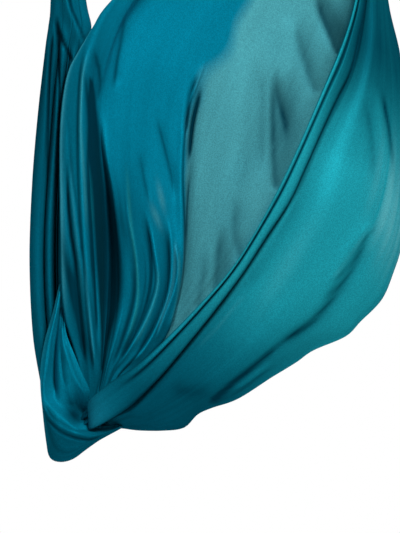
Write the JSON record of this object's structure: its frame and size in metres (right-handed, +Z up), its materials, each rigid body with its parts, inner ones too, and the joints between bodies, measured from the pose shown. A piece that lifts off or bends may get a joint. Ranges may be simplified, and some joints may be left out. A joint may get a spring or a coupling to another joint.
{
  "type": "aerial silk hammock",
  "caption": "Gathered loop of teal stretch cloth hung as an open pod from ceiling anchors by carabiners and pocketed webbing slings.",
  "frame": {"origin": "on the ceiling plane, midway between the two anchor plates", "axes": "+Z up into the ceiling, +X from the left anchor to the right one as seen from the open side of the pod, +Y away from that viewer"},
  "size_m": [1.0201, 0.3738, 2.199],
  "materials": {
    "steel": "satin",
    "dark_steel": "satin",
    "webbing": "matte",
    "silk": "satin"
  },
  "bodies": {
    "ceiling_anchors": {"left_anchor_plate": "steel", "left_anchor_eye": "steel", "right_anchor_plate": "steel", "right_anchor_eye": "steel"},
    "left_upper_carabiner": {"left_upper_carabiner_body": "steel", "left_upper_carabiner_gate_pin": "steel"},
    "left_upper_carabiner_gate": {"left_upper_carabiner_gate": "steel"},
    "left_upper_carabiner_sleeve": {"left_upper_carabiner_sleeve": "dark_steel"},
    "left_sling": {"left_lower_carabiner_body": "steel", "left_lower_carabiner_gate_pin": "steel", "left_sling": "webbing"},
    "left_lower_carabiner_gate": {"left_lower_carabiner_gate": "steel"},
    "left_lower_carabiner_sleeve": {"left_lower_carabiner_sleeve": "dark_steel"},
    "right_upper_carabiner": {"right_upper_carabiner_body": "steel", "right_upper_carabiner_gate_pin": "steel"},
    "right_upper_carabiner_gate": {"right_upper_carabiner_gate": "steel"},
    "right_upper_carabiner_sleeve": {"right_upper_carabiner_sleeve": "dark_steel"},
    "right_sling": {"right_lower_carabiner_body": "steel", "right_lower_carabiner_gate_pin": "steel", "right_sling": "webbing"},
    "right_lower_carabiner_gate": {"right_lower_carabiner_gate": "steel"},
    "right_lower_carabiner_sleeve": {"right_lower_carabiner_sleeve": "dark_steel"},
    "silk": {"silk_left_fold": "silk", "silk_left_knot": "silk", "silk_left_strand": "silk", "silk_pod": "silk", "silk_right_fold": "silk", "silk_right_knot": "silk", "silk_right_strand": "silk"}
  },
  "joints": [
    {"name": "left_front_back_swing", "type": "hinge", "parent": "ceiling_anchors", "child": "left_upper_carabiner", "pos_m": [-0.42, 0, -0.045], "axis": [1, 0, 0], "range_deg": [-40, 40]},
    {"name": "right_front_back_swing", "type": "hinge", "parent": "ceiling_anchors", "child": "right_upper_carabiner", "pos_m": [0.42, 0, -0.045], "axis": [1, 0, 0], "range_deg": [-40, 40]},
    {"name": "left_side_swing", "type": "hinge", "parent": "left_upper_carabiner", "child": "left_sling", "pos_m": [-0.42, 0, -0.1322], "axis": [0, 1, 0], "range_deg": [-40, 40]},
    {"name": "right_side_swing", "type": "hinge", "parent": "right_upper_carabiner", "child": "right_sling", "pos_m": [0.42, 0, -0.1322], "axis": [0, 1, 0], "range_deg": [-40, 40]},
    {"name": "silk_level", "type": "hinge", "parent": "left_sling", "child": "silk", "pos_m": [-0.42, 0, -0.5602], "axis": [0, 1, 0], "range_deg": [-40, 40]},
    {"name": "left_upper_carabiner_gate_hinge", "type": "hinge", "parent": "left_upper_carabiner", "child": "left_upper_carabiner_gate", "pos_m": [-0.42, -0.024, -0.0982], "axis": [-1, 0, 0], "range_deg": [0, 26], "stiffness_Nm_per_rad": 0.05, "springref_deg": -14.32},
    {"name": "left_upper_carabiner_sleeve_screw", "type": "slide", "parent": "left_upper_carabiner_gate", "child": "left_upper_carabiner_sleeve", "axis": [0, 0, 1], "range_m": [0, 0.009]},
    {"name": "left_lower_carabiner_gate_hinge", "type": "hinge", "parent": "left_sling", "child": "left_lower_carabiner_gate", "pos_m": [-0.42, -0.024, -0.5262], "axis": [-1, 0, 0], "range_deg": [0, 26], "stiffness_Nm_per_rad": 0.05, "springref_deg": -14.32},
    {"name": "left_lower_carabiner_sleeve_screw", "type": "slide", "parent": "left_lower_carabiner_gate", "child": "left_lower_carabiner_sleeve", "axis": [0, 0, 1], "range_m": [0, 0.009]},
    {"name": "right_upper_carabiner_gate_hinge", "type": "hinge", "parent": "right_upper_carabiner", "child": "right_upper_carabiner_gate", "pos_m": [0.42, -0.024, -0.0982], "axis": [-1, 0, 0], "range_deg": [0, 26], "stiffness_Nm_per_rad": 0.05, "springref_deg": -14.32},
    {"name": "right_upper_carabiner_sleeve_screw", "type": "slide", "parent": "right_upper_carabiner_gate", "child": "right_upper_carabiner_sleeve", "axis": [0, 0, 1], "range_m": [0, 0.009]},
    {"name": "right_lower_carabiner_gate_hinge", "type": "hinge", "parent": "right_sling", "child": "right_lower_carabiner_gate", "pos_m": [0.42, -0.024, -0.5262], "axis": [-1, 0, 0], "range_deg": [0, 26], "stiffness_Nm_per_rad": 0.05, "springref_deg": -14.32},
    {"name": "right_lower_carabiner_sleeve_screw", "type": "slide", "parent": "right_lower_carabiner_gate", "child": "right_lower_carabiner_sleeve", "axis": [0, 0, 1], "range_m": [0, 0.009]}
  ],
  "couplings": [
    {"joint": "right_front_back_swing", "follows": "left_front_back_swing", "ratio": 1},
    {"joint": "right_side_swing", "follows": "left_side_swing", "ratio": 1},
    {"joint": "silk_level", "follows": "left_side_swing", "ratio": -1}
  ]
}
